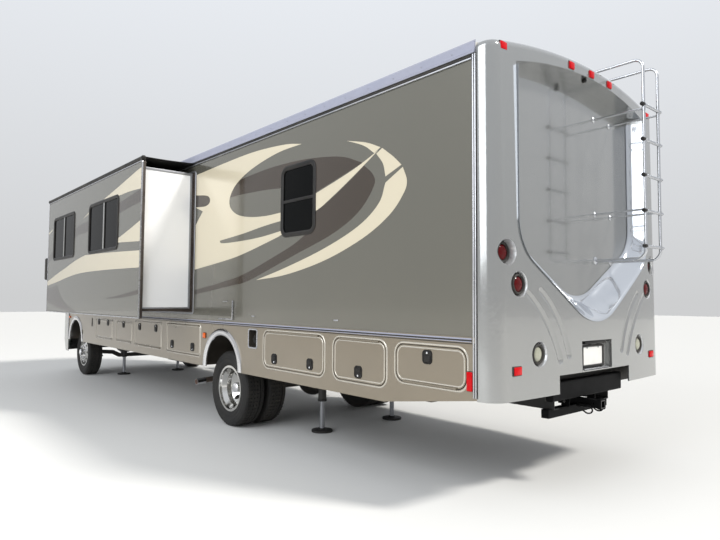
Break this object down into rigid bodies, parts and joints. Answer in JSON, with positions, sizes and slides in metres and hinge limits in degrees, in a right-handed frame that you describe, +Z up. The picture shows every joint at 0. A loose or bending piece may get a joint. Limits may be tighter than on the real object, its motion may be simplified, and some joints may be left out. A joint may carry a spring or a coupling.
{
  "type": "motorhome",
  "caption": "Large bus-shaped motorhome with an open slide-out room, drop-down storage doors, rear ladder and levelling jacks down.",
  "frame": {"origin": "on the ground, in the middle of the base of the whole object with its slide-out room open", "axes": "+X to the driver's side, where the slide-out room is; +Y to the rear; +Z up"},
  "size_m": [3.663, 10.9526, 3.675],
  "materials": {
    "chassis_black": "satin black chassis paint",
    "floor_panel": "dark sealed underside",
    "body_paint": "glossy metallic pewter gel coat",
    "skirt_paint": "glossy metallic taupe",
    "roof_skin": "white roof membrane",
    "roof_rail": "pale grey moulding",
    "clear_glass": "clear laminated glass",
    "tinted_glass": "dark tinted glass",
    "bay_metal": "grey coated sheet",
    "engine_iron": "cast iron",
    "steel": "oiled steel",
    "tank_steel": "black tank",
    "exhaust_steel": "heat stained steel",
    "jack_steel": "black paint, bright ram",
    "ladder_aluminium": "bright aluminium tube",
    "red_lens": "red lens",
    "clear_lens": "clear lens",
    "grille_plastic": "black plastic",
    "mirror_housing": "painted housing",
    "roof_plastic": "white plastic cover",
    "awning_case": "white aluminium",
    "dash_plastic": "soft dark plastic",
    "seat_leather": "tan leather",
    "cabinet_wood": "glazed cherry wood",
    "topper_vinyl": "black vinyl",
    "trim_black": "black",
    "wheel_chrome": "polished liner",
    "tyre": "worn black rubber",
    "step_metal": "black ribbed tread"
  },
  "bodies": {
    "root": {"chassis_frame": "chassis_black", "floor": "floor_panel", "left_wall": "body_paint", "right_wall": "body_paint", "left_skirt": "skirt_paint", "right_skirt": "skirt_paint", "roof": "roof_skin", "roof_rails": "roof_rail", "rear_cap": "body_paint", "front_cap": "body_paint", "windshield": "clear_glass", "window_glass": "tinted_glass", "storage_bays": "bay_metal", "front_axle": "chassis_black", "rear_axle": "chassis_black", "leaf_springs": "chassis_black", "engine": "engine_iron", "drive_shaft": "steel", "fuel_tank": "tank_steel", "exhaust": "exhaust_steel", "levelling_jacks": "jack_steel", "ladder": "ladder_aluminium", "hitch_receiver": "chassis_black", "rear_lamps": "red_lens", "headlamps": "clear_lens", "grille": "grille_plastic", "mirrors": "mirror_housing", "roof_units": "roof_plastic", "patio_awning": "awning_case", "dashboard": "dash_plastic", "steering_wheel": "dash_plastic", "cab_seats": "seat_leather", "furniture": "cabinet_wood", "topper_fabric": "topper_vinyl"},
    "slide_out_room": {"slide_room": "body_paint", "slide_windows": "tinted_glass", "topper_roller": "trim_black", "sofa": "seat_leather"},
    "wheel_front_left": {"front_left_wheel": "wheel_chrome", "front_left_tyre": "tyre"},
    "wheel_front_right": {"front_right_wheel": "wheel_chrome", "front_right_tyre": "tyre"},
    "wheels_rear_left": {"rear_left_wheels": "wheel_chrome", "rear_left_tyres": "tyre"},
    "wheels_rear_right": {"rear_right_wheels": "wheel_chrome", "rear_right_tyres": "tyre"},
    "knuckle_left": {"left_knuckle": "steel"},
    "knuckle_right": {"right_knuckle": "steel"},
    "door_entry": {"entry_door": "body_paint"},
    "step_entry": {"entry_step": "step_metal"},
    "left_bay_door_1": {"left_storage_door_1": "skirt_paint"},
    "left_bay_door_2": {"left_storage_door_2": "skirt_paint"},
    "left_bay_door_3": {"left_storage_door_3": "skirt_paint"},
    "left_bay_door_4": {"left_storage_door_4": "skirt_paint"},
    "left_bay_door_5": {"left_storage_door_5": "skirt_paint"},
    "left_bay_door_6": {"left_storage_door_6": "skirt_paint"},
    "left_bay_door_7": {"left_storage_door_7": "skirt_paint"},
    "right_bay_door_1": {"right_storage_door_1": "skirt_paint"},
    "right_bay_door_2": {"right_storage_door_2": "skirt_paint"},
    "right_bay_door_3": {"right_storage_door_3": "skirt_paint"}
  },
  "joints": [
    {"name": "slide_out", "type": "slide", "parent": "root", "child": "slide_out_room", "axis": [1, 0, 0], "range_m": [-0.632, 0]},
    {"name": "left_steering", "type": "hinge", "parent": "root", "child": "knuckle_left", "pos_m": [0.7185, -4.36625, 0.425], "axis": [0, 0, 1], "range_deg": [-35, 35]},
    {"name": "right_steering", "type": "hinge", "parent": "root", "child": "knuckle_right", "pos_m": [-1.0415, -4.36625, 0.425], "axis": [0, 0, 1], "range_deg": [-35, 35]},
    {"name": "front_left_spin", "type": "hinge", "parent": "knuckle_left", "child": "wheel_front_left", "pos_m": [0.8805, -4.36625, 0.425], "axis": [1, 0, 0], "continuous": true},
    {"name": "front_right_spin", "type": "hinge", "parent": "knuckle_right", "child": "wheel_front_right", "pos_m": [-1.2035, -4.36625, 0.425], "axis": [1, 0, 0], "continuous": true},
    {"name": "rear_left_spin", "type": "hinge", "parent": "root", "child": "wheels_rear_left", "pos_m": [0.9235, 1.42375, 0.425], "axis": [1, 0, 0], "continuous": true},
    {"name": "rear_right_spin", "type": "hinge", "parent": "root", "child": "wheels_rear_right", "pos_m": [-1.2465, 1.42375, 0.425], "axis": [1, 0, 0], "continuous": true},
    {"name": "entry_hinge", "type": "hinge", "parent": "root", "child": "door_entry", "pos_m": [-1.4615, -3.57025, 1.8], "axis": [0, 0, 1], "range_deg": [0, 95]},
    {"name": "step_slide", "type": "slide", "parent": "root", "child": "step_entry", "axis": [1, 0, 0], "range_m": [0, 0.28]},
    {"name": "left_bay_1_hinge", "type": "hinge", "parent": "root", "child": "left_bay_door_1", "pos_m": [1.1385, -2.74125, 0.786], "axis": [0, 1, 0], "range_deg": [0, 165]},
    {"name": "left_bay_2_hinge", "type": "hinge", "parent": "root", "child": "left_bay_door_2", "pos_m": [1.1385, -1.77125, 0.786], "axis": [0, 1, 0], "range_deg": [0, 165]},
    {"name": "left_bay_3_hinge", "type": "hinge", "parent": "root", "child": "left_bay_door_3", "pos_m": [1.1385, -0.80625, 0.771], "axis": [0, 1, 0], "range_deg": [0, 165]},
    {"name": "left_bay_4_hinge", "type": "hinge", "parent": "root", "child": "left_bay_door_4", "pos_m": [1.1385, 0.37375, 1.119], "axis": [0, -1, 0], "range_deg": [0, 80]},
    {"name": "left_bay_5_hinge", "type": "hinge", "parent": "root", "child": "left_bay_door_5", "pos_m": [1.1385, 2.83125, 1.12], "axis": [0, -1, 0], "range_deg": [0, 100]},
    {"name": "left_bay_6_hinge", "type": "hinge", "parent": "root", "child": "left_bay_door_6", "pos_m": [1.1385, 3.80625, 1.116], "axis": [0, -1, 0], "range_deg": [0, 100]},
    {"name": "left_bay_7_hinge", "type": "hinge", "parent": "root", "child": "left_bay_door_7", "pos_m": [1.1385, 4.59375, 0.836], "axis": [0, 1, 0], "range_deg": [0, 165]},
    {"name": "right_bay_1_hinge", "type": "hinge", "parent": "root", "child": "right_bay_door_1", "pos_m": [-1.4615, -2.11625, 1.114], "axis": [0, 1, 0], "range_deg": [0, 100]},
    {"name": "right_bay_2_hinge", "type": "hinge", "parent": "root", "child": "right_bay_door_2", "pos_m": [-1.4615, -0.31625, 1.114], "axis": [0, 1, 0], "range_deg": [0, 100]},
    {"name": "right_bay_3_hinge", "type": "hinge", "parent": "root", "child": "right_bay_door_3", "pos_m": [-1.4615, 2.92375, 1.114], "axis": [0, 1, 0], "range_deg": [0, 100]}
  ],
  "couplings": [
    {"joint": "right_steering", "follows": "left_steering", "ratio": 1}
  ]
}
